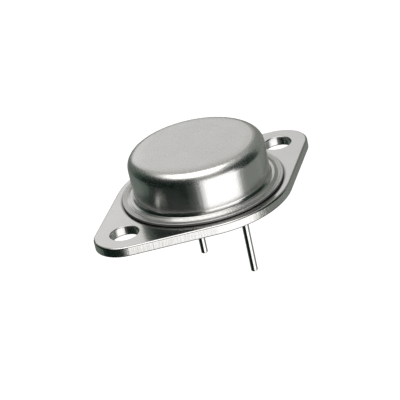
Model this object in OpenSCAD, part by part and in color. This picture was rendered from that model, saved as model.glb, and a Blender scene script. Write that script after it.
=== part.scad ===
// Power transistor in a two-lead diamond metal can, with everything that the can seals in.
// The origin is the middle of the base plate's underside, which is the seating plane.
// X runs along the line of the two mounting holes, Y along the row of the two leads.

/* [Base plate] */
// Distance between the centres of the two mounting holes
hole_spacing = 30.15; // [29.5:0.05:31]
// Diameter of a mounting hole
hole_d = 4.1; // [3.8:0.05:4.4]
// Radius of the plate's two long-side arcs, about the plate's centre
mid_radius = 12.95; // [12.5:0.05:13.4]
// Radius of the plate's two ends, about the mounting holes
end_radius = 4.45; // [4:0.05:4.8]
// Thickness of the plate
plate_t = 1.4; // [1.2:0.05:1.8]
// Radius that stamping rolls onto the plate's upper edge
edge_roll = 0.3; // [0.1:0.05:0.5]
// Radius that tumbling leaves on the plate's lower edge
tumbled_r = 0.12; // [0.05:0.01:0.2]
// Radius that stamping rolls onto the upper edge of a mounting hole
hole_roll = 0.15; // [0.05:0.05:0.3]

/* [Leads and glass seals] */
// Distance between the two leads
lead_pitch = 10.92; // [10.6:0.01:11.2]
// How far the row of leads lies from the plate's centre, along X
lead_offset = 1.815; // [1.5:0.005:2.1]
// Diameter of a lead
lead_d = 1; // [0.9:0.01:1.1]
// How far a lead reaches below the seating plane
lead_length = 11.9; // [8:0.1:13]
// Rounding of a lead's free end
lead_tip_r = 0.2; // [0.05:0.05:0.4]
// Diameter of the flat head at a lead's inner end
head_d = 1.9; // [1.6:0.05:2.2]
// Thickness of that head
head_t = 0.4; // [0.2:0.05:0.6]
// Diameter of the plate's hole that a glass seal fills
seal_d = 2.8; // [2.4:0.05:3]
// How deep the glass sags between lead and plate
seal_sag = 0.12; // [0.05:0.01:0.2]

/* [Cap] */
// Outer diameter of the cap's wall
cap_d = 19.9; // [19.2:0.05:20.2]
// Height of the whole transistor above the seating plane
overall_h = 8.3; // [7:0.05:9]
// Thickness of the sheet that the cap is drawn from
sheet_t = 0.38; // [0.3:0.01:0.5]
// Outer radius of the bend between the cap's wall and its top
corner_r = 1.7; // [1:0.05:2.2]
// Radius of the wide, shallow shoulder between that bend and the flat of the top
shoulder_r = 12; // [8:0.5:16]
// Slope at which the shoulder meets the bend, as an angle
shoulder_slope = 6; // [3:0.5:8]
// How far the cap's flange reaches out beyond its wall
flange_w = 1.8; // [1.6:0.05:2]
// Rounding of the flange's outer edge
flange_edge_r = 0.08; // [0.02:0.01:0.15]
// How far the wall flares out at its foot
flare_w = 0.2; // [0.1:0.01:0.25]
// How far from upright the flare leans where it ends, as an angle
flare_lean = 38; // [25:1:45]
// Radius of the bend inside the can, between its wall and the flange's underside
inner_bend_r = 0.4; // [0.2:0.05:0.5]
// Width of the ridge that coining leaves between the wall and the outer part of the flange
ridge_w = 1.05; // [1:0.01:1.1]
// Height of the ridge above the outer part of the flange
ridge_h = 0.2; // [0.16:0.01:0.22]
// Angle at which the ridge's outer side slopes down
ridge_slope = 22; // [19:1:26]
// Rounding between the ridge's top and its slope
ridge_round = 0.3; // [0.2:0.05:0.5]
// Height of the welded ring that holds the flange off the plate
weld_h = 0.06; // [0.03:0.01:0.14]
// Width of the welded ring
weld_w = 0.6; // [0.3:0.05:0.7]
// Distance between the ring's outer edge and the flange's outer edge
weld_inset = 0.5; // [0.2:0.05:0.6]
// Number of fine grooves that coining leaves round the flange, the first at the foot of the ridge
grooves = 2; // [1:1:2]
// Width of a groove
groove_w = 0.08; // [0.06:0.01:0.1]
// Depth of a groove
groove_depth = 0.05; // [0.02:0.01:0.08]
// Distance between a groove and the next
groove_gap = 0.22; // [0.15:0.01:0.25]

/* [Heat spreader and die] */
// Length of the copper heat spreader, along X
spreader_l = 9; // [8.4:0.1:10]
// Width of the heat spreader, along Y
spreader_w = 7.4; // [7.2:0.05:7.6]
// Thickness of the heat spreader
spreader_t = 1.2; // [0.8:0.05:1.6]
// Rounding of the heat spreader's corners
spreader_corner_r = 1; // [0.3:0.1:1.5]
// How far the heat spreader's middle lies from the plate's centre, away from the leads
spreader_offset = 1.2; // [0.8:0.05:1.6]
// Thickness of the braze under the heat spreader
braze_t = 0.08; // [0.04:0.01:0.15]
// How far the braze shows round the heat spreader
braze_rim = 0.15; // [0.05:0.05:0.2]
// Side of the square silicon die
die_w = 4; // [3.6:0.1:4.2]
// Thickness of the die
die_t = 0.3; // [0.2:0.05:0.4]
// Thickness of the solder under the die
solder_t = 0.06; // [0.03:0.01:0.1]
// How far the solder shows round the die
solder_rim = 0.12; // [0.05:0.01:0.15]
// Thickness of the aluminium contacts on the die
contact_t = 0.04; // [0.03:0.01:0.06]
// Bare border between the contacts and the die's edge
contact_border = 0.2; // [0.1:0.05:0.3]
// Width of the bonding strip that joins a contact's fingers
strip_w = 0.95; // [0.9:0.05:1.1]
// Number of fingers on the emitter contact
emitter_fingers = 6; // [4:1:7]
// Bare gap between the emitter's and the base's fingers
finger_gap = 0.08; // [0.05:0.01:0.1]
// Height of the silicone coating's dome over the heat spreader
coating_h = 1.3; // [1.2:0.05:1.6]
// Radius of the dome on the heat spreader
coating_r = 3.55; // [3.4:0.05:3.6]

/* [Bond wires] */
// Diameter of a bond wire
wire_d = 0.38; // [0.25:0.01:0.4]
// Angle at which a wire climbs from its bond
wire_climb = 50; // [35:1:60]
// Length of the flattened foot of a bond
foot_l = 0.6; // [0.4:0.05:0.6]
// Width of the flattened foot
foot_w = 0.5; // [0.42:0.02:0.55]
// Thickness of the flattened foot
foot_t = 0.2; // [0.1:0.01:0.25]
// Distance between the two emitter wires, on the die
wire_pair_gap = 1.5; // [1:0.1:2]
// Distance between the two emitter wires, on the lead's head
wire_head_gap = 0.8; // [0.7:0.05:0.85]

/* [Hidden] */
$fn = 96;

// How far a cutter runs past the face that it opens
past = 1;

// Plate: tangent_a is where a straight side leaves the middle arc, measured from X, and side_l its length
end_x = hole_spacing / 2;
tangent_a = acos((mid_radius - end_radius) / end_x);
side_l = end_x * sin(tangent_a);
// Width of the strip that carries a straight edge, and how far that strip runs on into the discs
rim_w = 2 * edge_roll;
edge_lap = 0.01;

// Leads; the emitter's lies at -Y and the base's at +Y
lead_y = lead_pitch / 2;

// Cap
cap_r = cap_d / 2;
flange_r = cap_r + flange_w;
flange_z = plate_t + weld_h;
flange_top_z = flange_z + sheet_t;
weld_r = flange_r - weld_inset;
// The ridge is flat as far as ridge_flat_x, and its slope starts at ridge_bend
ridge_r = cap_r + ridge_w;
ridge_top_z = flange_top_z + ridge_h;
ridge_flat_x = ridge_r - ridge_h / tan(ridge_slope) - ridge_round * tan(ridge_slope / 2);
ridge_bend = [ridge_flat_x + ridge_round * sin(ridge_slope), ridge_top_z - ridge_round * (1 - cos(ridge_slope))];
// The flare is one arc from the wall to the ridge
flare_r = flare_w / (1 - cos(flare_lean));
flare_top_z = ridge_top_z + flare_r * sin(flare_lean);
// The top's shoulder starts at shoulder_x and runs tangent into the bend, whose centre is at bend_z
shoulder_x = cap_r - corner_r - (shoulder_r - corner_r) * sin(shoulder_slope);
bend_z = overall_h - shoulder_r + (shoulder_r - corner_r) * cos(shoulder_slope);

// Stack on the plate, from the braze up
spreader_z = plate_t + braze_t;
solder_z = spreader_z + spreader_t;
die_z = solder_z + solder_t;
contact_z = die_z + die_t;
bond_z = contact_z + contact_t;

// Contacts: strips along the die's two Y sides, with fingers between them
contact_w = die_w - 2 * contact_border;
strip_y = contact_w / 2 - strip_w / 2;
finger_room = contact_w - strip_w - finger_gap;
finger_pitch = contact_w / (2 * emitter_fingers - 1);
finger_w = finger_pitch - finger_gap;
base_fingers = emitter_fingers - 1;

// The dome is a slice off a ball
dome_r = (coating_r * coating_r + coating_h * coating_h) / (2 * coating_h);

// The plate's section, w wide, with a rolled upper edge and a tumbled lower one on its +X side
module rolled_profile(w) {
    square([w - edge_roll, plate_t]);
    square([w - tumbled_r, plate_t - edge_roll]);
    translate([0, tumbled_r]) square([w, plate_t - edge_roll - tumbled_r]);
    translate([w - edge_roll, plate_t - edge_roll]) circle(edge_roll);
    translate([w - tumbled_r, tumbled_r]) circle(tumbled_r);
}

module rolled_disc(r) {
    rotate_extrude() rolled_profile(r);
}

// The straight edge between the middle disc and the disc at the +X end, on the +Y side
module rolled_side() {
    rotate([0, 0, tangent_a]) translate([mid_radius - rim_w, edge_lap, 0]) rotate([90, 0, 0])
        linear_extrude(side_l + 2 * edge_lap) rolled_profile(rim_w);
}

// Three rolled discs and the four straight edges that are tangent to them, about a flat core
module plate_blank() {
    outward = [cos(tangent_a), sin(tangent_a)];
    mid_corner = (mid_radius - edge_roll) * outward;
    end_corner = [end_x, 0] + (end_radius - edge_roll) * outward;
    linear_extrude(plate_t) polygon([for (flip = [[1, 1], [-1, 1], [-1, -1], [1, -1]])
        for (corner = flip[0] * flip[1] > 0 ? [end_corner, mid_corner] : [mid_corner, end_corner])
            [flip[0] * corner[0], flip[1] * corner[1]]]);
    rolled_disc(mid_radius);
    for (x = [-end_x, end_x]) translate([x, 0, 0]) rolled_disc(end_radius);
    for (half_turn = [0, 180]) rotate([0, 0, half_turn]) {
        rolled_side();
        mirror([0, 1, 0]) rolled_side();
    }
}

// A mounting hole, with the rolled edge at its top and the tumbled one at its bottom
module mounting_hole() {
    hole_r = hole_d / 2;
    translate([0, 0, -past]) cylinder(r = hole_r, h = plate_t + 2 * past);
    translate([0, 0, plate_t - hole_roll]) rotate_extrude() difference() {
        square([hole_r + hole_roll, hole_roll + past]);
        translate([hole_r + hole_roll, 0]) circle(hole_roll);
    }
    rotate_extrude() difference() {
        translate([0, -past]) square([hole_r + tumbled_r, tumbled_r + past]);
        translate([hole_r + tumbled_r, tumbled_r]) circle(tumbled_r);
    }
}

module base_plate() {
    color("#c9c8c4") difference() {
        plate_blank();
        for (x = [-end_x, end_x]) translate([x, 0, 0]) mounting_hole();
        for (y = [-lead_y, lead_y])
            translate([lead_offset, y, -past]) cylinder(d = seal_d, h = plate_t + 2 * past);
    }
}

// The cap's outer or inner skin: inset is how far the skin lies inside the outer one
module cap_skin(inset) {
    square([cap_r - inset, bend_z]);
    square([shoulder_x, overall_h - inset]);
    intersection() {
        translate([shoulder_x, overall_h - shoulder_r]) circle(shoulder_r - inset);
        translate([0, bend_z])
            square([shoulder_x + (shoulder_r - inset) * sin(shoulder_slope), overall_h - bend_z]);
    }
    translate([cap_r - corner_r, bend_z]) circle(corner_r - inset);
}

// The wall's flare, outside
module outer_flare() {
    difference() {
        translate([0, ridge_top_z]) square([cap_r + flare_w, flare_top_z - ridge_top_z]);
        translate([cap_r + flare_r, flare_top_z]) circle(flare_r);
    }
}

// The bend inside, from the wall out to the flange's underside
module inner_bend() {
    difference() {
        square([cap_r - sheet_t + inner_bend_r, flange_z + inner_bend_r]);
        translate([cap_r - sheet_t + inner_bend_r, flange_z + inner_bend_r]) circle(inner_bend_r);
    }
}

// The ridge: flat on top, rounded into its slope, and down to the outer part of the flange
module ridge_profile() {
    translate([0, flange_z]) square([ridge_flat_x, ridge_top_z - flange_z]);
    intersection() {
        translate([ridge_flat_x, ridge_top_z - ridge_round]) circle(ridge_round);
        translate([ridge_flat_x, ridge_bend[1]])
            square([ridge_bend[0] - ridge_flat_x, ridge_top_z - ridge_bend[1]]);
    }
    polygon([[ridge_flat_x, flange_z], [ridge_r, flange_z], [ridge_r, flange_top_z],
             ridge_bend, [ridge_flat_x, ridge_bend[1]]]);
}

module flange_profile() {
    translate([0, flange_z]) square([flange_r - flange_edge_r, sheet_t]);
    translate([0, flange_z + flange_edge_r]) square([flange_r, sheet_t - 2 * flange_edge_r]);
    for (z = [flange_z + flange_edge_r, flange_top_z - flange_edge_r])
        translate([flange_r - flange_edge_r, z]) circle(flange_edge_r);
}

module cap() {
    color("#c4c3c1") rotate_extrude() difference() {
        union() {
            difference() {
                union() {
                    intersection() {
                        cap_skin(0);
                        translate([0, flange_z]) square([flange_r, overall_h]);
                    }
                    outer_flare();
                    ridge_profile();
                    flange_profile();
                }
                cap_skin(sheet_t);
                inner_bend();
            }
            translate([weld_r - weld_w, plate_t]) square([weld_w, weld_h]);
        }
        for (i = [0 : grooves - 1])
            translate([ridge_r + i * (groove_w + groove_gap), flange_top_z - groove_depth])
                square([groove_w, groove_depth + past]);
    }
}

module lead_profile() {
    lead_r = lead_d / 2;
    head_r = head_d / 2;
    translate([0, lead_tip_r - lead_length]) square([lead_r, lead_length - lead_tip_r + bond_z]);
    translate([0, -lead_length]) square([lead_r - lead_tip_r, lead_length]);
    translate([lead_r - lead_tip_r, lead_tip_r - lead_length]) circle(lead_tip_r);
    translate([0, bond_z - head_t]) square([head_r, head_t]);
}

module lead(y) {
    color("#b9bab8") translate([lead_offset, y, 0]) rotate_extrude() lead_profile();
}

module emitter_lead() { lead(-lead_y); }

module base_lead() { lead(lead_y); }

// Glass between a lead and the plate, hollowed at both faces where it wets the metal
module seal(y) {
    seal_r = seal_d / 2;
    lead_r = lead_d / 2;
    half_w = (seal_r - lead_r) / 2;
    hollow_r = (half_w * half_w + seal_sag * seal_sag) / (2 * seal_sag);
    color("#2f4a45") translate([lead_offset, y, 0]) rotate_extrude() difference() {
        translate([lead_r, 0]) square([seal_r - lead_r, plate_t]);
        for (z = [seal_sag - hollow_r, plate_t - seal_sag + hollow_r])
            translate([lead_r + half_w, z]) circle(hollow_r);
    }
}

module emitter_seal() { seal(-lead_y); }

module base_seal() { seal(lead_y); }

// A flat pad under the die, centred on the heat spreader
module pad(l, w, r, z, t) {
    translate([-spreader_offset, 0, z]) linear_extrude(t) {
        square([l - 2 * r, w], center = true);
        square([l, w - 2 * r], center = true);
        for (x = [r - l / 2, l / 2 - r]) for (y = [r - w / 2, w / 2 - r]) translate([x, y]) circle(r);
    }
}

module heat_spreader() {
    color("#b87a4b") pad(spreader_l, spreader_w, spreader_corner_r, spreader_z, spreader_t);
}

module spreader_braze() {
    braze_l = spreader_l + 2 * braze_rim;
    braze_w = spreader_w + 2 * braze_rim;
    color("#cfc49a") pad(braze_l, braze_w, spreader_corner_r + braze_rim, plate_t, braze_t);
}

// A square block centred on the heat spreader
module die_block(w, z, t) {
    translate([-spreader_offset - w / 2, -w / 2, z]) cube([w, w, t]);
}

module silicon_die() {
    color("#54585e") die_block(die_w, die_z, die_t);
}

module die_solder() {
    color("#a9abad") die_block(die_w + 2 * solder_rim, solder_z, solder_t);
}

// A comb of count fingers, its strip on the -Y side
module comb(count) {
    translate([-contact_w / 2, -contact_w / 2]) square([contact_w, strip_w]);
    for (i = [0 : count - 1])
        translate([(2 * i - count + 1) * finger_pitch - finger_w / 2, -contact_w / 2])
            square([finger_w, finger_room]);
}

module contact(count) {
    color("#dcdcda") translate([-spreader_offset, 0, contact_z]) linear_extrude(contact_t) comb(count);
}

module emitter_contact() { contact(emitter_fingers); }

module base_contact() { mirror([0, 1, 0]) contact(base_fingers); }

// The flattened foot of a bond, its inner end at x = 0
module wire_foot() {
    translate([-foot_l, -foot_w / 2, 0]) cube([foot_l, foot_w, foot_t]);
}

// A wire along +X that arches from one foot to another, with their inner ends span apart
module wire(span) {
    arch_r = span / (2 * sin(wire_climb));
    // the arch runs on into the feet and is cut off at the bonded face
    arch_a = 2 * acos(cos(wire_climb) - foot_t / arch_r);
    wire_foot();
    translate([span, 0, 0]) mirror([1, 0, 0]) wire_foot();
    intersection() {
        translate([span / 2, 0, foot_t / 2 - arch_r * cos(wire_climb)]) rotate([90, 0, 0])
            rotate([0, 0, 90 - arch_a / 2]) rotate_extrude(angle = arch_a)
                translate([arch_r, 0]) circle(d = wire_d, $fn = 32);
        translate([-foot_l, -wire_d, 0]) cube([span + 2 * foot_l, 2 * wire_d, arch_r]);
    }
}

// A wire between two bond centres, given as [x, y]
module wire_between(from, to) {
    run = to - from;
    reach = norm(run);
    heading = atan2(run[1], run[0]);
    color("#d5d5d3") translate([from[0], from[1], bond_z]) rotate([0, 0, heading])
        translate([foot_l / 2, 0, 0]) wire(reach - foot_l);
}

// side is -1 for the wire nearer the plate's -X end and 1 for the other
module emitter_wire(side) {
    wire_between([-spreader_offset + side * wire_pair_gap / 2, -strip_y],
                 [lead_offset + side * wire_head_gap / 2, -lead_y]);
}

module emitter_wire_left() { emitter_wire(-1); }

module emitter_wire_right() { emitter_wire(1); }

module base_wire() {
    wire_between([-spreader_offset, strip_y], [lead_offset, lead_y]);
}

module die_coating() {
    color("#e9e6dc", 0.6) difference() {
        intersection() {
            translate([-spreader_offset, 0, solder_z + coating_h - dome_r]) sphere(dome_r);
            translate([-spreader_offset, 0, solder_z]) cylinder(r = coating_r + past, h = coating_h + past);
        }
        die_solder();
        silicon_die();
        emitter_contact();
        base_contact();
        emitter_wire_left();
        emitter_wire_right();
        base_wire();
    }
}

base_plate();
cap();
emitter_lead();
base_lead();
emitter_seal();
base_seal();
heat_spreader();
spreader_braze();
silicon_die();
die_solder();
emitter_contact();
base_contact();
emitter_wire_left();
emitter_wire_right();
base_wire();
die_coating();
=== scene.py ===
# %% [markdown]
# # A power transistor in a metal can
# A stamped, nickel-plated base plate carries a drawn steel cap. Two round leads leave it through glass
# seals. Inside, a silicon chip sits on a copper block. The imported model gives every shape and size.
# This lesson gives the shapes their finishes and sets up a small product studio round them.

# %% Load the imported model
import math

import bpy
from mathutils import Matrix, Vector


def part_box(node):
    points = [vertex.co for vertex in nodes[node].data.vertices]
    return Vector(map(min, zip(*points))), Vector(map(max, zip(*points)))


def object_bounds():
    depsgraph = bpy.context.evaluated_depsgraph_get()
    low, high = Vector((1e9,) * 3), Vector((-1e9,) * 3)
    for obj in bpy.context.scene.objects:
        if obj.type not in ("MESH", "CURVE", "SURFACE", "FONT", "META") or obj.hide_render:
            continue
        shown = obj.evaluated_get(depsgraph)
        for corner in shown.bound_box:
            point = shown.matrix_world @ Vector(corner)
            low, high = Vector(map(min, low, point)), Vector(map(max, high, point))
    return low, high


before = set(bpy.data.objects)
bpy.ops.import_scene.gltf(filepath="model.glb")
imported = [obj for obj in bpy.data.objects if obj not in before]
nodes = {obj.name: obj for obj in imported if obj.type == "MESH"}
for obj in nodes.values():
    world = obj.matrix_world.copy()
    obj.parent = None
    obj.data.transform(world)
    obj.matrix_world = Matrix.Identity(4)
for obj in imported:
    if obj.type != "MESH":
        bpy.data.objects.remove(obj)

cad_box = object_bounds()
print("nodes:", sorted(nodes))

# %% [markdown]
# ## Units
# Everything is in metres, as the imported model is, but a transistor is thought of in millimetres.
# One short function turns the one into the other, so that each size below reads as a maker would say it.


# %% Millimetres
def mm(length):
    return length / 1000


size_mm = [round((high - low) * 1000, 2) for low, high in zip(*cad_box)]
print("the part measures", size_mm, "mm")

# %% [markdown]
# ## The camera
# A long lens a forearm's length away gives the flat perspective of a catalogue.
# The camera is given by where it looks from: a compass angle, a height angle and a distance from the point
# that it aims at. It is rolled a little as well, which makes the part seem to lean.
# Building the turn from a look-at and a roll is easier to check than three Euler angles.

# %% Camera angles and distance
view_azimuth = math.radians(-126.652)
view_elevation = math.radians(26.342)
view_roll = math.radians(12.451)
view_distance = mm(286.99)
view_aim = Vector((mm(-0.799), mm(0.312), mm(-0.457)))
lens_mm = 179.875
sensor_mm = 36
nearest_seen = mm(10)

to_camera_level = Vector((math.cos(view_azimuth), math.sin(view_azimuth), 0))
up = Vector((0, 0, 1))
to_camera = math.cos(view_elevation) * to_camera_level + math.sin(view_elevation) * up

camera_data = bpy.data.cameras.new("catalogue_camera")
camera_data.lens = lens_mm
camera_data.sensor_width = sensor_mm
camera_data.clip_start = nearest_seen
camera = bpy.data.objects.new("catalogue_camera", camera_data)
bpy.context.scene.collection.objects.link(camera)
look = (-to_camera).to_track_quat("-Z", "Y").to_matrix() @ Matrix.Rotation(-view_roll, 3, "Z")
camera.matrix_world = Matrix.Translation(view_aim + view_distance * to_camera) @ look.to_4x4()
bpy.context.scene.camera = camera
print("camera at", [round(c * 1000, 1) for c in camera.location], "mm")

# %% [markdown]
# ## Helpers for materials
# Colours are written as sRGB hex values, as a paint chart gives them, and turned to the linear values that
# the renderer works in. A material is a small graph of nodes, so one helper adds a node, sets it and links
# it.


# %% Colour and node helpers
def linear(hex_colour):
    """The linear colour, with an alpha of 1, that an sRGB hex value stands for."""
    channels = [int(hex_colour[i:i + 2], 16) / 255 for i in (1, 3, 5)]
    return [c / 12.92 if c <= 0.04045 else ((c + 0.055) / 1.055) ** 2.4 for c in channels] + [1]


def add_node(tree, kind, inputs=None, **settings):
    """Add a node. inputs gives sockets a value or another socket to read, settings are its own properties."""
    node = tree.nodes.new("ShaderNode" + kind)
    for name, value in settings.items():
        setattr(node, name, value)
    for name, value in (inputs or {}).items():
        if isinstance(value, bpy.types.NodeSocket):
            tree.links.new(value, node.inputs[name])
        else:
            node.inputs[name].default_value = value
    return node


def new_material(name):
    """An empty node material and its tree."""
    material = bpy.data.materials.new(name)
    material.use_nodes = True
    material.node_tree.nodes.clear()
    return material, material.node_tree


print("mid grey is", [round(c, 3) for c in linear("#808080")])

# %% [markdown]
# ## The studio: floor and light
# A polished metal part shows little of itself: what the eye sees is the room in it. So the room comes first.
# The floor is plain, pale and matt. It lies a hand's breadth below the part, which seems to float over it,
# and its shadow is so soft and so far down that the ground stays even.
# Light comes softly from all round, and a round softbox overhead puts the bright lines on the bends.

# %% Floor
floor_drop = mm(70)
floor_z = cad_box[0].z - floor_drop
floor_radius = 2.0
floor_sides = 64

bpy.ops.object.select_all(action="DESELECT")
bpy.ops.mesh.primitive_circle_add(
    vertices=floor_sides, radius=floor_radius, fill_type="NGON", location=(0, 0, floor_z))
floor = bpy.context.object
floor.name = "floor"
floor.visible_glossy = False

material, tree = new_material("matt_white_paper")
paper = add_node(tree, "BsdfDiffuse", {"Color": linear("#F4F4F2")})
add_node(tree, "OutputMaterial", {"Surface": paper.outputs[0]})
floor.data.materials.append(material)
print("floor at", round(floor_z * 1000, 1), "mm")

# %% Soft light all round, from the world
world_strength = 0.79

world = bpy.data.worlds.new("studio_world")
bpy.context.scene.world = world
world.use_nodes = True
world.node_tree.nodes["Background"].inputs["Color"].default_value = linear("#FFFFFF")
world.node_tree.nodes["Background"].inputs["Strength"].default_value = world_strength
print("the world has strength", world_strength)

# %% Softbox overhead
softbox_height = 1.4
softbox_half_angle = math.radians(32)
softbox_radiance = 1.8

softbox_data = bpy.data.lights.new("softbox", "AREA")
softbox_data.shape = "DISK"
softbox_data.size = 2 * softbox_height * math.tan(softbox_half_angle)
# a disk that gives off this many watts looks as bright as softbox_radiance
softbox_data.energy = softbox_radiance * math.pi ** 2 * (softbox_data.size / 2) ** 2
softbox = bpy.data.objects.new("softbox", softbox_data)
softbox.location = (0, 0, softbox_height)
softbox.visible_camera = False
bpy.context.scene.collection.objects.link(softbox)
print("softbox", round(softbox_data.size, 2), "m wide gives off", round(softbox_data.energy, 1), "W")

# %% [markdown]
# ## The studio: cards and flags
# In a product studio, white cards and dark flags stand round polished metal, just out of view. The metal
# mirrors them, and the bands of dark and light that come from them are what makes it read as metal.
# Each card here is part of a ball round the part, made by spinning one edge, and only reflections see it:
# the floor, its shadow and the general light stay as plain as they are.


# %% A card that only the metal sees
card_reach = 1.0
card_steps = 24


def card(name, colour, strength, first, last, low, high):
    """A card that reaches round the part from one angle to another, and from a low to a high one.

    The angles are in degrees: first and last are counted to the right from the direction of the camera, low
    and high are heights over the horizon.
    """
    bpy.ops.object.select_all(action="DESELECT")
    mesh = bpy.data.meshes.new(name)
    made = bpy.data.objects.new(name, mesh)
    bpy.context.scene.collection.objects.link(made)
    heading = view_azimuth + math.radians(first)
    edge = []
    for height in (math.radians(low), math.radians(high)):
        out = card_reach * math.cos(height)
        edge.append((out * math.cos(heading), out * math.sin(heading), card_reach * math.sin(height)))
    mesh.from_pydata(edge, [(0, 1)], [])
    bpy.context.view_layer.objects.active = made
    made.select_set(True)
    bpy.ops.object.mode_set(mode="EDIT")
    bpy.ops.mesh.select_all(action="SELECT")
    bpy.ops.mesh.spin(
        steps=card_steps, angle=math.radians(first - last), center=(0, 0, 0), axis=(0, 0, 1))
    bpy.ops.object.mode_set(mode="OBJECT")
    material, tree = new_material(name)
    glow = add_node(tree, "Emission", {"Color": linear(colour), "Strength": strength})
    add_node(tree, "OutputMaterial", {"Surface": glow.outputs[0]})
    made.data.materials.append(material)
    made.visible_camera = False
    made.visible_diffuse = False
    made.visible_shadow = False
    made.visible_transmission = False


# %% [markdown]
# ## Where the cards stand
# An upright wall mirrors what is low, at the camera's own height angle below the horizon, and at twice the
# angle that the wall is turned away by. A level face mirrors what stands behind the part. A bend mirrors a
# whole strip, from low to right overhead. So the cards are grouped by the side on which they stand.
# Greys with a little green in them are dark cloth, and a flag's edge steps through a middle tone, because a
# real one is never quite sharp.

# %% Cards in front
# they make the bright band on the wall, on the rim and on the leads, and the greys on the bend
front_cards = [
    # name, colour, strength, first, last, low, high
    ("bright_card_low", "#FFFFFF", 1.75, -3, 62, -52, 0),
    ("bright_card_high", "#FFFFFF", 1.6, -3, 54, 0, 17),
    ("card_edge", "#6A6E69", 1.0, -14, -3, -52, -8),
    ("card_dark_edge", "#3A403B", 1.0, -26, -14, -52, -8),
    ("under_flag", "#202521", 1.0, -26, 62, -90, -52),
    ("front_flag", "#ADADA9", 1.0, -12, 35, 17, 49),
    ("front_right_flag", "#6A6B67", 1.0, 35, 54, 17, 49),
    ("front_upper_flag", "#D0D1CE", 1.0, -70, 50, 52, 60),
]
print(len(front_cards), "cards in front")

# %% Cards on the left
# they make the dark half of the wall and of the bend, with greys at its end
left_cards = [
    # name, colour, strength, first, last, low, high
    ("black_flag_low", "#111E19", 1.0, -98, -26, -90, -8),
    ("black_flag_high", "#101D18", 1.0, -108, -12, -8, 52),
    ("black_flag_edge", "#101D18", 1.0, -12, -3, -8, 17),
    ("left_flag_low", "#757D76", 1.0, -152, -117, -90, -8),
    ("left_dark_flag_low", "#5A6860", 1.0, -117, -98, -90, -8),
    ("left_flag_high", "#666D66", 1.0, -152, -127, -8, 45),
    ("left_dark_flag_high", "#34463D", 1.0, -127, -108, -8, 45),
    ("left_grey_flag", "#A5A6A2", 1.0, -152, -108, 45, 54),
    ("left_upper_flag", "#C4C5C1", 1.0, -152, -108, 54, 62),
    ("left_upper_card", "#FFFFFF", 1.05, -108, -70, 52, 60),
]
print(len(left_cards), "cards on the left")

# %% Cards on the right
# they make the shaded end of the wall and of the plate's rim
right_cards = [
    # name, colour, strength, first, last, low, high
    ("right_flag_low", "#888D87", 1.0, 62, 115, -90, -12),
    ("right_flag", "#1C2A23", 1.0, 54, 102, -12, 50),
    ("right_edge_flag", "#404D46", 1.0, 102, 115, -12, 50),
    ("right_grey_flag", "#858A84", 1.0, 115, 160, -90, 50),
    ("right_upper_flag", "#9A9B96", 1.0, 50, 160, 50, 68),
]
print(len(right_cards), "cards on the right")

# %% Cards behind
# the level faces mirror them, and the plain world light in the gap between them
back_cards = [
    # name, colour, strength, first, last, low, high
    ("right_back_flag", "#B2B2AE", 1.0, 160, 170, 12, 34),
    ("back_flag_low", "#232824", 1.0, 160, 208, -90, -32),
    ("back_flag", "#7F847E", 1.0, 160, 208, -32, 12),
    ("back_left_card", "#FFFFFF", 0.92, 183, 208, 12, 34),
    ("back_upper_flag", "#ADADA9", 1.0, 160, 208, 34, 70),
]
print(len(back_cards), "cards behind")

# %% Stand the cards up
cards = front_cards + left_cards + right_cards + back_cards
for row in cards:
    card(*row)
print(len(cards), "cards")

# %% [markdown]
# ## How a finish is put on
# The record names a material for each node, and the node's mesh carries one slot for it.
# Each finish below is a function of its own, because no two of these surfaces are made alike.
# A pattern's size is given in millimetres: a noise texture's Scale is the number of its cells in a metre.
# A mark that only some faces have is masked by which way the face looks or by how far out it lies.


# %% Pattern sizes and slots
def cells(width):
    """The Scale of a noise whose cells are width millimetres wide."""
    return 1 / mm(width)


def dress(node_name, material):
    """Put a material in every slot of a node's mesh."""
    mesh = nodes[node_name].data
    for i in range(len(mesh.materials)):
        mesh.materials[i] = material
    print(node_name, "is finished in", material.name)


# %% Where a face looks, and how far out it lies
def upward_share(tree):
    """1 where a face looks up, 0 where it is upright and -1 where it looks down."""
    facing = add_node(tree, "NewGeometry").outputs["Normal"]
    return add_node(tree, "SeparateXYZ", {"Vector": facing}).outputs["Z"]


def distance_from_axis(tree, place):
    """How far out from the can's upright axis a point lies."""
    flat_place = add_node(tree, "Mapping", {"Vector": place, "Scale": (1, 1, 0)}).outputs["Vector"]
    return add_node(tree, "VectorMath", {0: flat_place}, operation="LENGTH").outputs["Value"]


cap_low, cap_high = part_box("cap")
flange_radius = (cap_high.x - cap_low.x) / 2
print("the flange is", round(flange_radius * 1000, 2), "mm in radius")

# %% [markdown]
# ## Nickel on the stamped base plate
# The plate is blanked from steel strip, tumbled and plated with nickel in a barrel. Nickel is a warm grey
# metal. Its flats are satin, with a fine grain. Its rim is what the punch left: the steel sheared away in
# upright lines, which catch the light one by one where it changes from dark to bright.
# Bump makes both, because they are only hundredths of a millimetre deep.

# %% Widths and depths of the plate's marks
nickel_colour = linear("#DBDAD8")

# plated grain is a few hundredths of a millimetre across: drawn four times as coarse, so that it shows
plate_grain_mm = 0.22
plate_grain_depth = mm(0.002)
plate_cloud_mm = 4
# shear lines are about a tenth of a millimetre apart: drawn three times as coarse, so that they show
shear_line_mm = 0.3
shear_line_stretch = 0.04
shear_depth = mm(0.02)
# the rim is darker along its lowest edge: the darkening starts to fade at the first height and is gone at the
# second
bottom_line_low = mm(0.13)
bottom_line_high = mm(0.2)
# width of the painted shadow round the foot of the cap's flange
flange_shadow_width = mm(0.45)
print("the plate's grain is drawn", plate_grain_mm, "mm wide, and its shear lines", shear_line_mm, "mm")
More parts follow.
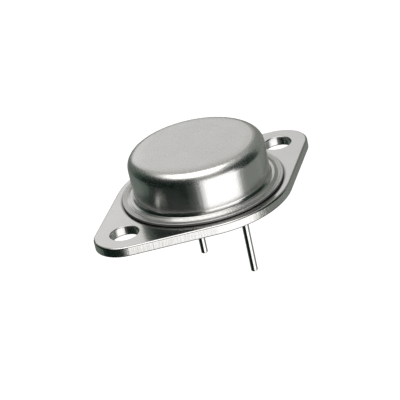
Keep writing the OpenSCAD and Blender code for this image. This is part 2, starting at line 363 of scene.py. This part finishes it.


# %% The plate's rubbed edges, and a darker line along its lowest edge
def worn_edges(tree, tone, place, level):
    """The tone, darkened on the rounded edges and along the lowest. level is 1 on a flat and 0 on the rim."""
    # tumbling has rubbed the rounded edges grey
    shoulder = add_node(tree, "MapRange", {
        "Value": level, "From Min": 0.97, "From Max": 0.88}).outputs["Result"]
    crown = add_node(tree, "MapRange", {
        "Value": level, "From Min": 0.45, "From Max": 0.65}).outputs["Result"]
    crown = add_node(tree, "Math", {0: crown, 1: shoulder}, operation="MULTIPLY").outputs[0]
    rubbed = add_node(tree, "MapRange", {
        "Value": crown, "To Min": 1.0, "To Max": 0.7}).outputs["Result"]
    tone = add_node(tree, "Math", {0: tone, 1: rubbed}, operation="MULTIPLY").outputs[0]
    # the rim is drawn darker along its lowest edge
    height = add_node(tree, "SeparateXYZ", {"Vector": place}).outputs["Z"]
    bottom_line = add_node(tree, "MapRange", {
        "Value": height, "From Min": bottom_line_low, "From Max": bottom_line_high,
        "To Min": 0.3, "To Max": 1.0}).outputs["Result"]
    bottom_line = add_node(tree, "Mix", {0: shoulder, 2: 1.0, 3: bottom_line}, data_type="FLOAT").outputs[0]
    return add_node(tree, "Math", {0: tone, 1: bottom_line}, operation="MULTIPLY").outputs[0]


# %% The painted shadow round the cap's flange
def painted_flange_shadow(tree, tone, place, up_share):
    """The tone, darkened by a painted shadow on the plate's top round the foot of the cap's flange.

    The painted shadow is a ring round the flange that fades outwards. It has no inner edge, so the plate's
    top is as dark all over under the cap, which shows when the cap is taken off.
    """
    radius = distance_from_axis(tree, place)
    # painted shadow: the plate's top is darkened at the flange's foot and lightens outwards
    flange_shadow = add_node(tree, "MapRange", {
        "Value": radius, "From Min": flange_radius, "From Max": flange_radius + flange_shadow_width,
        "To Min": 0.15, "To Max": 1.0}, interpolation_type="SMOOTHSTEP").outputs["Result"]
    on_top = add_node(tree, "MapRange", {
        "Value": up_share, "From Min": 0.5, "From Max": 0.9}).outputs["Result"]
    flange_shadow = add_node(tree, "Mix", {0: on_top, 2: 1.0, 3: flange_shadow}, data_type="FLOAT").outputs[0]
    return add_node(tree, "Math", {0: tone, 1: flange_shadow}, operation="MULTIPLY").outputs[0]


# %% Plate finish
def nickel_on_stamped_steel():
    material, tree = new_material("nickel_on_stamped_steel")
    place = add_node(tree, "TexCoord").outputs["Object"]
    up_share = upward_share(tree)
    level = add_node(tree, "Math", {0: up_share}, operation="ABSOLUTE").outputs[0]
    upright = add_node(tree, "MapRange", {
        "Value": level, "From Min": 0.25, "From Max": 0.05}).outputs["Result"]

    grain = add_node(tree, "TexNoise", {
        "Vector": place, "Scale": cells(plate_grain_mm), "Detail": 3.0, "Roughness": 0.6}).outputs["Fac"]
    cloud = add_node(tree, "TexNoise", {
        "Vector": place, "Scale": cells(plate_cloud_mm), "Detail": 2.0}).outputs["Fac"]
    along = add_node(tree, "Mapping", {
        "Vector": place, "Scale": (1, 1, shear_line_stretch)}).outputs["Vector"]
    shear = add_node(tree, "TexNoise", {
        "Vector": along, "Scale": cells(shear_line_mm), "Detail": 3.0, "Roughness": 0.65}).outputs["Fac"]

    tone = add_node(tree, "MapRange", {
        "Value": grain, "From Min": 0.3, "From Max": 0.7, "To Min": 0.94, "To Max": 1.04}).outputs["Result"]
    cloud_tone = add_node(tree, "MapRange", {
        "Value": cloud, "From Min": 0.3, "From Max": 0.7, "To Min": 0.98, "To Max": 1.02}).outputs["Result"]
    tone = add_node(tree, "Math", {0: tone, 1: cloud_tone}, operation="MULTIPLY").outputs[0]
    # the shear's valleys are drawn a little darker
    valley = add_node(tree, "MapRange", {
        "Value": shear, "From Min": 0.35, "From Max": 0.6, "To Min": 0.88, "To Max": 1.0}).outputs["Result"]
    valley = add_node(tree, "Mix", {0: upright, 2: 1.0, 3: valley}, data_type="FLOAT").outputs[0]
    tone = add_node(tree, "Math", {0: tone, 1: valley}, operation="MULTIPLY").outputs[0]
    tone = worn_edges(tree, tone, place, level)
    # painted shadow round the cap's flange
    tone = painted_flange_shadow(tree, tone, place, up_share)
    colour = add_node(tree, "VectorMath", {
        0: nickel_colour[:3], "Scale": tone}, operation="SCALE").outputs[0]

    satin = add_node(tree, "MapRange", {
        "Value": grain, "From Min": 0.3, "From Max": 0.7, "To Min": 0.15, "To Max": 0.22}).outputs["Result"]
    torn = add_node(tree, "MapRange", {
        "Value": shear, "From Min": 0.3, "From Max": 0.7, "To Min": 0.2, "To Max": 0.34}).outputs["Result"]
    roughness = add_node(tree, "Mix", {0: upright, 2: satin, 3: torn}, data_type="FLOAT").outputs[0]

    grain_bump = add_node(tree, "Bump", {
        "Height": grain, "Distance": plate_grain_depth, "Strength": 1.0}).outputs["Normal"]
    upright_shear = add_node(tree, "Math", {0: shear, 1: upright}, operation="MULTIPLY").outputs[0]
    bump = add_node(tree, "Bump", {
        "Height": upright_shear, "Distance": shear_depth, "Strength": 1.0,
        "Normal": grain_bump}).outputs["Normal"]
    shader = add_node(tree, "BsdfPrincipled", {
        "Base Color": colour, "Metallic": 1.0, "Roughness": roughness, "Normal": bump})
    add_node(tree, "OutputMaterial", {"Surface": shader.outputs[0]})
    return material


dress("base_plate", nickel_on_stamped_steel())

# %% [markdown]
# ## Nickel on the drawn cap
# The cap is drawn from thin strip in a press and plated like the plate. Its top never touches the tool's wall
# and stays satin. The wall is squeezed past the die and comes out brighter, with faint upright draw lines.
# A ring presses the flange down: it burnishes it, greys it a little and leaves fine circles. Beyond the ridge
# nothing burnishes it, and it stays duller. Its outer edge is trimmed and dull, and its colour is darkened:
# partly an oxide tint from the weld's heat, partly painted shade of the gap under the flange.

# %% Widths and depths of the cap's marks
# satin grain is a twentieth of a millimetre across: drawn about four times as coarse, so that it shows
cap_grain_mm = 0.2
cap_grain_depth = mm(0.0006)
cap_cloud_mm = 3
# draw lines are a few hundredths of a millimetre apart: drawn coarser as well
draw_line_mm = 0.3
draw_line_stretch = 0.06
draw_line_depth = mm(0.003)
circle_mm = 0.16
circle_depth = mm(0.02)
# each zone of the flange fades in between two radii
pressed_zone = (flange_radius - mm(1.82), flange_radius - mm(1.74))
outer_zone = (flange_radius - mm(0.78), flange_radius - mm(0.7))
edge_zone = (flange_radius - mm(0.09), flange_radius - mm(0.03))
print("the ring presses the cap from a radius of", round(pressed_zone[1] * 1000, 2), "mm outwards")


# %% The zones of the flange
def flange_zones(tree, radius, up_share):
    """Three masks: where the ring presses, what lies beyond the ridge, and the trimmed edge."""
    pressed = add_node(tree, "MapRange", {
        "Value": radius, "From Min": pressed_zone[0], "From Max": pressed_zone[1]}).outputs["Result"]
    outer = add_node(tree, "MapRange", {
        "Value": radius, "From Min": outer_zone[0], "From Max": outer_zone[1]}).outputs["Result"]
    edge = add_node(tree, "MapRange", {
        "Value": radius, "From Min": edge_zone[0], "From Max": edge_zone[1]}).outputs["Result"]
    trimmed = add_node(tree, "MapRange", {
        "Value": up_share, "From Min": 0.4, "From Max": 0.15}).outputs["Result"]
    edge = add_node(tree, "Math", {0: edge, 1: trimmed}, operation="MULTIPLY").outputs[0]
    return pressed, outer, edge


# %% Cap finish
def nickel_on_drawn_cap():
    material, tree = new_material("nickel_on_drawn_cap")
    place = add_node(tree, "TexCoord").outputs["Object"]
    up_share = upward_share(tree)
    upright = add_node(tree, "MapRange", {
        "Value": up_share, "From Min": 0.6, "From Max": 0.1}).outputs["Result"]
    radius = distance_from_axis(tree, place)
    pressed, outer, edge = flange_zones(tree, radius, up_share)

    grain = add_node(tree, "TexNoise", {
        "Vector": place, "Scale": cells(cap_grain_mm), "Detail": 3.0, "Roughness": 0.65}).outputs["Fac"]
    cloud = add_node(tree, "TexNoise", {
        "Vector": place, "Scale": cells(cap_cloud_mm), "Detail": 2.0}).outputs["Fac"]
    along = add_node(tree, "Mapping", {
        "Vector": place, "Scale": (1, 1, draw_line_stretch)}).outputs["Vector"]
    lines = add_node(tree, "TexNoise", {
        "Vector": along, "Scale": cells(draw_line_mm), "Detail": 2.0, "Roughness": 0.6}).outputs["Fac"]
    circles = add_node(tree, "TexNoise", {
        "W": radius, "Scale": cells(circle_mm), "Detail": 0.0}, noise_dimensions="1D").outputs["Fac"]

    tone = add_node(tree, "MapRange", {
        "Value": grain, "From Min": 0.3, "From Max": 0.7, "To Min": 0.93, "To Max": 1.04}).outputs["Result"]
    cloud_tone = add_node(tree, "MapRange", {
        "Value": cloud, "From Min": 0.3, "From Max": 0.7, "To Min": 0.975, "To Max": 1.02}).outputs["Result"]
    tone = add_node(tree, "Math", {0: tone, 1: cloud_tone}, operation="MULTIPLY").outputs[0]
    pressed_tone = add_node(tree, "MapRange", {
        "Value": pressed, "To Min": 1.0, "To Max": 0.9}).outputs["Result"]
    tone = add_node(tree, "Math", {0: tone, 1: pressed_tone}, operation="MULTIPLY").outputs[0]
    # the trimmed edge's darker colour is partly oxide tint and partly painted shade of the gap under the
    # flange
    edge_oxide_and_painted_shade = add_node(tree, "MapRange", {
        "Value": edge, "To Min": 1.0, "To Max": 0.55}).outputs["Result"]
    tone = add_node(tree, "Math", {0: tone, 1: edge_oxide_and_painted_shade}, operation="MULTIPLY").outputs[0]
    colour = add_node(tree, "VectorMath", {
        0: nickel_colour[:3], "Scale": tone}, operation="SCALE").outputs[0]

    satin = add_node(tree, "MapRange", {
        "Value": grain, "From Min": 0.3, "From Max": 0.7, "To Min": 0.24, "To Max": 0.32}).outputs["Result"]
    ironed = add_node(tree, "MapRange", {
        "Value": lines, "From Min": 0.3, "From Max": 0.7, "To Min": 0.22, "To Max": 0.28}).outputs["Result"]
    roughness = add_node(tree, "Mix", {0: upright, 2: satin, 3: ironed}, data_type="FLOAT").outputs[0]
    for zone, zone_roughness in ((pressed, 0.2), (outer, 0.42), (edge, 0.5)):
        roughness = add_node(tree, "Mix", {
            0: zone, 2: roughness, 3: zone_roughness}, data_type="FLOAT").outputs[0]

    grain_bump = add_node(tree, "Bump", {
        "Height": grain, "Distance": cap_grain_depth, "Strength": 1.0}).outputs["Normal"]
    pressed_circles = add_node(tree, "Math", {0: circles, 1: pressed}, operation="MULTIPLY").outputs[0]
    circle_bump = add_node(tree, "Bump", {
        "Height": pressed_circles, "Distance": circle_depth, "Strength": 1.0,
        "Normal": grain_bump}).outputs["Normal"]
    wall_lines = add_node(tree, "Math", {0: lines, 1: upright}, operation="MULTIPLY").outputs[0]
    bump = add_node(tree, "Bump", {
        "Height": wall_lines, "Distance": draw_line_depth, "Strength": 1.0,
        "Normal": circle_bump}).outputs["Normal"]
    shader = add_node(tree, "BsdfPrincipled", {
        "Base Color": colour, "Metallic": 1.0, "Roughness": roughness, "Normal": bump})
    add_node(tree, "OutputMaterial", {"Surface": shader.outputs[0]})
    return material


dress("cap", nickel_on_drawn_cap())

# %% [markdown]
# ## Bright nickel on the leads
# The leads are cut from drawn wire. Drawing pulls fine lines along it, and plating keeps it bright, so it
# mirrors the room in narrow upright bands. The cut end is duller.

# %% Widths of the leads' marks
# drawing lines are a few micrometres apart: drawn much coarser, so that they show
lead_line_mm = 0.12
lead_line_stretch = 0.03
lead_spot_mm = 0.6
cut_end_length = mm(0.2)
print("a lead's drawing lines are drawn", lead_line_mm, "mm wide")


# %% Lead finish
def nickel_on_drawn_wire():
    material, tree = new_material("nickel_on_drawn_wire")
    place = add_node(tree, "TexCoord").outputs["Object"]
    along = add_node(tree, "Mapping", {
        "Vector": place, "Scale": (1, 1, lead_line_stretch)}).outputs["Vector"]
    lines = add_node(tree, "TexNoise", {
        "Vector": along, "Scale": cells(lead_line_mm), "Detail": 2.0}).outputs["Fac"]
    spots = add_node(tree, "TexNoise", {
        "Vector": place, "Scale": cells(lead_spot_mm), "Detail": 3.0}).outputs["Fac"]
    tone = add_node(tree, "MapRange", {
        "Value": spots, "From Min": 0.3, "From Max": 0.7, "To Min": 0.94, "To Max": 1.03}).outputs["Result"]
    colour = add_node(tree, "VectorMath", {
        0: linear("#DCDBD8")[:3], "Scale": tone}, operation="SCALE").outputs[0]

    height = add_node(tree, "SeparateXYZ", {"Vector": place}).outputs["Z"]
    tip_z = cad_box[0].z
    cut = add_node(tree, "MapRange", {
        "Value": height, "From Min": tip_z + cut_end_length, "From Max": tip_z}).outputs["Result"]
    bright = add_node(tree, "MapRange", {
        "Value": lines, "From Min": 0.3, "From Max": 0.7, "To Min": 0.07, "To Max": 0.15}).outputs["Result"]
    roughness = add_node(tree, "Mix", {0: cut, 2: bright, 3: 0.35}, data_type="FLOAT").outputs[0]
    bump = add_node(tree, "Bump", {
        "Height": lines, "Distance": mm(0.002), "Strength": 1.0}).outputs["Normal"]
    shader = add_node(tree, "BsdfPrincipled", {
        "Base Color": colour, "Metallic": 1.0, "Roughness": roughness, "Normal": bump})
    add_node(tree, "OutputMaterial", {"Surface": shader.outputs[0]})
    return material


lead_finish = nickel_on_drawn_wire()
dress("emitter_lead", lead_finish)
dress("base_lead", lead_finish)

# %% [markdown]
# ## Glass in the lead seals
# Each seal is a bead of dark green glass, melted in place between lead and plate. It is nearly opaque, with a
# smooth fire-polished skin and a few fine bubbles under it.

# %% Widths of the glass's marks
glass_swirl_mm = 0.8
# bubbles are about a tenth of a millimetre apart: drawn twice as coarse, so that they show
bubble_mm = 0.25
print("the bubbles in the glass are drawn", bubble_mm, "mm apart")


# %% Seal finish
def sealing_glass():
    material, tree = new_material("sealing_glass")
    place = add_node(tree, "TexCoord").outputs["Object"]
    swirl = add_node(tree, "TexNoise", {
        "Vector": place, "Scale": cells(glass_swirl_mm), "Detail": 3.0}).outputs["Fac"]
    colour = add_node(tree, "Mix", {0: swirl, 6: linear("#1F332E"), 7: linear("#3C5A52")},
                      data_type="RGBA").outputs[2]
    bubbles = add_node(tree, "TexVoronoi", {"Vector": place, "Scale": cells(bubble_mm)}).outputs["Distance"]
    bubbles = add_node(tree, "MapRange", {
        "Value": bubbles, "From Min": 0.0, "From Max": 0.25}).outputs["Result"]
    bump = add_node(tree, "Bump", {
        "Height": bubbles, "Distance": mm(0.006), "Strength": 1.0}).outputs["Normal"]
    shader = add_node(tree, "BsdfPrincipled", {
        "Base Color": colour, "Roughness": 0.06, "IOR": 1.52, "Transmission Weight": 0.35, "Normal": bump})
    add_node(tree, "OutputMaterial", {"Surface": shader.outputs[0]})
    return material


seal_finish = sealing_glass()
dress("emitter_seal", seal_finish)
dress("base_seal", seal_finish)

# %% [markdown]
# ## Copper and its braze
# The heat spreader is a block of soft copper, sheared from bar and lightly tarnished by the brazing furnace.
# The braze under it is a silver alloy that has run out into a thin, pale, rippled margin.

# %% Widths of the marks on copper and braze
tarnish_mm = 1.6
# rolling lines are a few hundredths of a millimetre apart: drawn coarser, so that they show
rolled_line_mm = 0.15
rolled_line_stretch = 0.04
ripple_mm = 0.5
print("the copper's tarnish is in clouds of", tarnish_mm, "mm, and the braze ripples every", ripple_mm, "mm")


# %% Copper and braze finishes
def furnace_tarnished_copper():
    material, tree = new_material("furnace_tarnished_copper")
    place = add_node(tree, "TexCoord").outputs["Object"]
    tarnish = add_node(tree, "TexNoise", {
        "Vector": place, "Scale": cells(tarnish_mm), "Detail": 5.0, "Roughness": 0.6}).outputs["Fac"]
    # the rolling lines run along the bar, which lies along X
    along = add_node(tree, "Mapping", {
        "Vector": place, "Scale": (rolled_line_stretch, 1, 1)}).outputs["Vector"]
    rolled = add_node(tree, "TexNoise", {
        "Vector": along, "Scale": cells(rolled_line_mm), "Detail": 2.0}).outputs["Fac"]
    share = add_node(tree, "MapRange", {
        "Value": tarnish, "From Min": 0.35, "From Max": 0.65}).outputs["Result"]
    colour = add_node(tree, "Mix", {0: share, 6: linear("#A5623F"), 7: linear("#D99A72")},
                      data_type="RGBA").outputs[2]
    roughness = add_node(tree, "MapRange", {
        "Value": tarnish, "From Min": 0.3, "From Max": 0.7, "To Min": 0.42, "To Max": 0.26}).outputs["Result"]
    bump = add_node(tree, "Bump", {
        "Height": rolled, "Distance": mm(0.004), "Strength": 1.0}).outputs["Normal"]
    shader = add_node(tree, "BsdfPrincipled", {
        "Base Color": colour, "Metallic": 1.0, "Roughness": roughness, "Normal": bump})
    add_node(tree, "OutputMaterial", {"Surface": shader.outputs[0]})
    return material


def silver_braze():
    material, tree = new_material("silver_braze")
    place = add_node(tree, "TexCoord").outputs["Object"]
    ripples = add_node(tree, "TexNoise", {
        "Vector": place, "Scale": cells(ripple_mm), "Detail": 3.0, "Distortion": 0.6}).outputs["Fac"]
    colour = add_node(tree, "Mix", {0: ripples, 6: linear("#BFB28C"), 7: linear("#E2DABF")},
                      data_type="RGBA").outputs[2]
    roughness = add_node(tree, "MapRange", {
        "Value": ripples, "To Min": 0.22, "To Max": 0.42}).outputs["Result"]
    bump = add_node(tree, "Bump", {
        "Height": ripples, "Distance": mm(0.02), "Strength": 1.0}).outputs["Normal"]
    shader = add_node(tree, "BsdfPrincipled", {
        "Base Color": colour, "Metallic": 1.0, "Roughness": roughness, "Normal": bump})
    add_node(tree, "OutputMaterial", {"Surface": shader.outputs[0]})
    return material


dress("heat_spreader", furnace_tarnished_copper())
dress("spreader_braze", silver_braze())

# %% [markdown]
# ## Silicon and its solder
# The chip is a square of silicon, diced from a wafer and polished, under a thin glassy skin: dark, blue-grey
# and as shiny as a mirror. The soft solder under it has set with a frosted, crystalline skin.

# %% Widths of the marks on silicon and solder
skin_tint_mm = 1.5
# the saw's lines are a few micrometres apart: drawn about ten times as coarse, so that they show
saw_line_mm = 0.05
saw_line_stretch = 0.05
solder_crystal_mm = 0.18
print("the solder has set in crystals", solder_crystal_mm, "mm wide")


# %% Silicon and solder finishes
def polished_silicon():
    material, tree = new_material("polished_silicon")
    place = add_node(tree, "TexCoord").outputs["Object"]
    skin = add_node(tree, "TexNoise", {
        "Vector": place, "Scale": cells(skin_tint_mm), "Detail": 1.0}).outputs["Fac"]
    colour = add_node(tree, "Mix", {0: skin, 6: linear("#2E3440"), 7: linear("#4A5163")},
                      data_type="RGBA").outputs[2]
    # the saw leaves fine level lines on the four cut sides
    sawn = add_node(tree, "MapRange", {
        "Value": upward_share(tree), "From Min": 0.9, "From Max": 0.1}).outputs["Result"]
    level = add_node(tree, "Mapping", {
        "Vector": place, "Scale": (saw_line_stretch, saw_line_stretch, 1)}).outputs["Vector"]
    saw_lines = add_node(tree, "TexNoise", {
        "Vector": level, "Scale": cells(saw_line_mm), "Detail": 1.0}).outputs["Fac"]
    saw_depth = add_node(tree, "Math", {0: saw_lines, 1: sawn}, operation="MULTIPLY").outputs[0]
    roughness = add_node(tree, "MapRange", {"Value": sawn, "To Min": 0.05, "To Max": 0.45}).outputs["Result"]
    bump = add_node(tree, "Bump", {
        "Height": saw_depth, "Distance": mm(0.003), "Strength": 1.0}).outputs["Normal"]
    shader = add_node(tree, "BsdfPrincipled", {
        "Base Color": colour, "Roughness": roughness, "IOR": 3.88, "Normal": bump})
    add_node(tree, "OutputMaterial", {"Surface": shader.outputs[0]})
    return material


def soft_solder():
    material, tree = new_material("soft_solder")
    place = add_node(tree, "TexCoord").outputs["Object"]
    frost = add_node(tree, "TexVoronoi", {
        "Vector": place, "Scale": cells(solder_crystal_mm)}).outputs["Distance"]
    colour = add_node(tree, "Mix", {0: frost, 6: linear("#C2C3C4"), 7: linear("#8E9194")},
                      data_type="RGBA").outputs[2]
    roughness = add_node(tree, "MapRange", {"Value": frost, "To Min": 0.3, "To Max": 0.55}).outputs["Result"]
    bump = add_node(tree, "Bump", {"Height": frost, "Distance": mm(0.01), "Strength": 1.0}).outputs["Normal"]
    shader = add_node(tree, "BsdfPrincipled", {
        "Base Color": colour, "Metallic": 1.0, "Roughness": roughness, "Normal": bump})
    add_node(tree, "OutputMaterial", {"Surface": shader.outputs[0]})
    return material


dress("silicon_die", polished_silicon())
dress("die_solder", soft_solder())

# %% [markdown]
# ## Aluminium contacts and wires
# The contacts are a film of aluminium laid down as vapour, so they are fine-grained and pale. The bond wires
# are soft drawn aluminium, with lines along them.

# %% Widths of the marks on aluminium
# the film's grain and the wire's drawing lines are a few micrometres wide: drawn coarser, so that they show
film_grain_mm = 0.06
wire_line_mm = 0.07
# the wires run mostly along Y, so their lines are drawn out along it, and a little along Z
wire_line_stretch = (1, 0.06, 0.4)
print("the film's grain is drawn", film_grain_mm, "mm wide, and the wire's lines", wire_line_mm, "mm")


# %% Aluminium finishes
def aluminium_film():
    material, tree = new_material("aluminium_film")
    place = add_node(tree, "TexCoord").outputs["Object"]
    grain = add_node(tree, "TexNoise", {
        "Vector": place, "Scale": cells(film_grain_mm), "Detail": 2.0}).outputs["Fac"]
    colour = add_node(tree, "Mix", {0: grain, 6: linear("#D2D3D3"), 7: linear("#ECECEA")},
                      data_type="RGBA").outputs[2]
    roughness = add_node(tree, "MapRange", {"Value": grain, "To Min": 0.18, "To Max": 0.4}).outputs["Result"]
    bump = add_node(tree, "Bump", {"Height": grain, "Distance": mm(0.003), "Strength": 1.0}).outputs["Normal"]
    shader = add_node(tree, "BsdfPrincipled", {
        "Base Color": colour, "Metallic": 1.0, "Roughness": roughness, "Normal": bump})
    add_node(tree, "OutputMaterial", {"Surface": shader.outputs[0]})
    return material


def bonded_aluminium_wire():
    material, tree = new_material("bonded_aluminium_wire")
    place = add_node(tree, "TexCoord").outputs["Object"]
    along = add_node(tree, "Mapping", {"Vector": place, "Scale": wire_line_stretch}).outputs["Vector"]
    lines = add_node(tree, "TexNoise", {
        "Vector": along, "Scale": cells(wire_line_mm), "Detail": 2.0}).outputs["Fac"]
    colour = add_node(tree, "Mix", {0: lines, 6: linear("#C9CACA"), 7: linear("#E9E9E8")},
                      data_type="RGBA").outputs[2]
    roughness = add_node(tree, "MapRange", {"Value": lines, "To Min": 0.22, "To Max": 0.42}).outputs["Result"]
    bump = add_node(tree, "Bump", {"Height": lines, "Distance": mm(0.004), "Strength": 1.0}).outputs["Normal"]
    shader = add_node(tree, "BsdfPrincipled", {
        "Base Color": colour, "Metallic": 1.0, "Roughness": roughness, "Normal": bump})
    add_node(tree, "OutputMaterial", {"Surface": shader.outputs[0]})
    return material


film_finish = aluminium_film()
wire_finish = bonded_aluminium_wire()
for name in ("emitter_contact", "base_contact"):
    dress(name, film_finish)
for name in ("emitter_wire_left", "emitter_wire_right", "base_wire"):
    dress(name, wire_finish)

# %% [markdown]
# ## Silicone over the chip
# A drop of soft silicone covers the chip and its bonds. It is milky and lets some light through, with a
# smooth, wet-looking skin that is not quite even.

# %% Width of the coating's clouds
milk_cloud_mm = 1.2
print("the silicone is cloudy in patches of", milk_cloud_mm, "mm")


# %% Coating finish
def milky_silicone():
    material, tree = new_material("milky_silicone")
    place = add_node(tree, "TexCoord").outputs["Object"]
    milk = add_node(tree, "TexNoise", {
        "Vector": place, "Scale": cells(milk_cloud_mm), "Detail": 2.0}).outputs["Fac"]
    colour = add_node(tree, "Mix", {0: milk, 6: linear("#E2DED2"), 7: linear("#F1EFE8")},
                      data_type="RGBA").outputs[2]
    bump = add_node(tree, "Bump", {"Height": milk, "Distance": mm(0.03), "Strength": 1.0}).outputs["Normal"]
    shader = add_node(tree, "BsdfPrincipled", {
        "Base Color": colour, "Roughness": 0.16, "IOR": 1.41, "Transmission Weight": 0.55, "Normal": bump})
    add_node(tree, "OutputMaterial", {"Surface": shader.outputs[0]})
    return material


dress("die_coating", milky_silicone())

# %% [markdown]
# ## Finish
# The view transform is the plain one, so that a colour renders as it is written.

# %% Finish
bpy.context.scene.view_settings.view_transform = "Standard"
